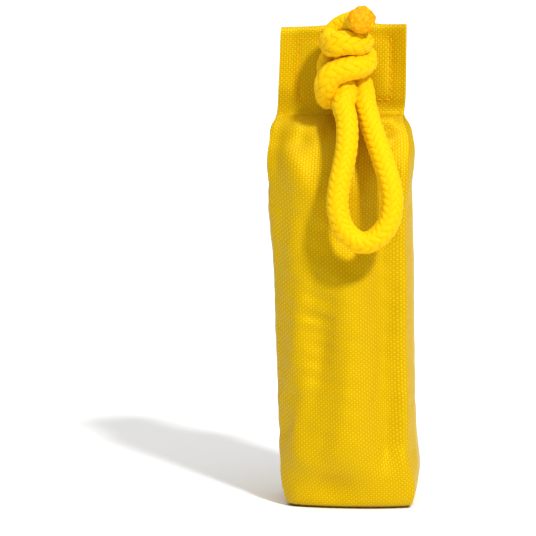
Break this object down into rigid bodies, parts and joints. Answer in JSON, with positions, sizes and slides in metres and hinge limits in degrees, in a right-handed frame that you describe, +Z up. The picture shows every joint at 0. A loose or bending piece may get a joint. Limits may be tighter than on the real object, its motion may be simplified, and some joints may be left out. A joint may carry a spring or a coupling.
{
  "type": "training bumper",
  "caption": "Slim boxed fabric training dummy with a sewn tab at the top and a short knotted rope loop as its throwing handle.",
  "frame": {"origin": "middle of the flat base, on the surface that the bumper stands on", "axes": "+Z up along the body, the front with the rope loop faces -Y, +X to the right seen from the front"},
  "size_m": [0.0486, 0.0638, 0.1818],
  "materials": {
    "cover_fabric": "yellow plain-weave polyester",
    "thread": "yellow sewing thread",
    "eyelet_brass": "polished",
    "rope": "bright yellow braided cord",
    "liner": "plain undyed liner",
    "fill": "loose cork granules"
  },
  "bodies": {
    "dummy_body": {"front_panel": "cover_fabric", "back_panel": "cover_fabric", "left_gusset": "cover_fabric", "right_gusset": "cover_fabric", "base_panel": "cover_fabric", "seam_thread_front_left": "thread", "seam_thread_front_right": "thread", "seam_thread_back_left": "thread", "seam_thread_back_right": "thread", "seam_thread_base": "thread", "liner_bag": "liner", "granule_fill": "fill"},
    "tab": {"tab_front_ply": "cover_fabric", "tab_back_ply": "cover_fabric", "tab_left_fold": "cover_fabric", "tab_right_fold": "cover_fabric", "eyelet_barrel": "eyelet_brass", "eyelet_washer": "eyelet_brass", "tab_stitch_left_front": "thread", "tab_stitch_right_front": "thread", "tab_stitch_lower_front": "thread", "tab_stitch_upper_front": "thread", "tab_stitch_left_back": "thread", "tab_stitch_right_back": "thread", "tab_stitch_lower_back": "thread", "tab_stitch_upper_back": "thread"},
    "knot": {"front_knot": "rope", "stopper_knot": "rope", "rope_neck": "rope", "rope_tail_front": "rope", "rope_tail_back": "rope"},
    "loop": {"rope_loop": "rope"}
  },
  "joints": [
    {"name": "tab_fold", "type": "hinge", "parent": "dummy_body", "child": "tab", "pos_m": [0, 0, 0.14], "axis": [1, 0, 0], "range_deg": [-20, 12]},
    {"name": "rope_turn", "type": "hinge", "parent": "tab", "child": "knot", "pos_m": [0, 0, 0.158], "axis": [0, 1, 0], "range_deg": [-90, 90]},
    {"name": "loop_lift", "type": "hinge", "parent": "knot", "child": "loop", "pos_m": [0.0059, -0.02, 0.1451], "axis": [-1, 0, 0], "range_deg": [0, 70]}
  ]
}
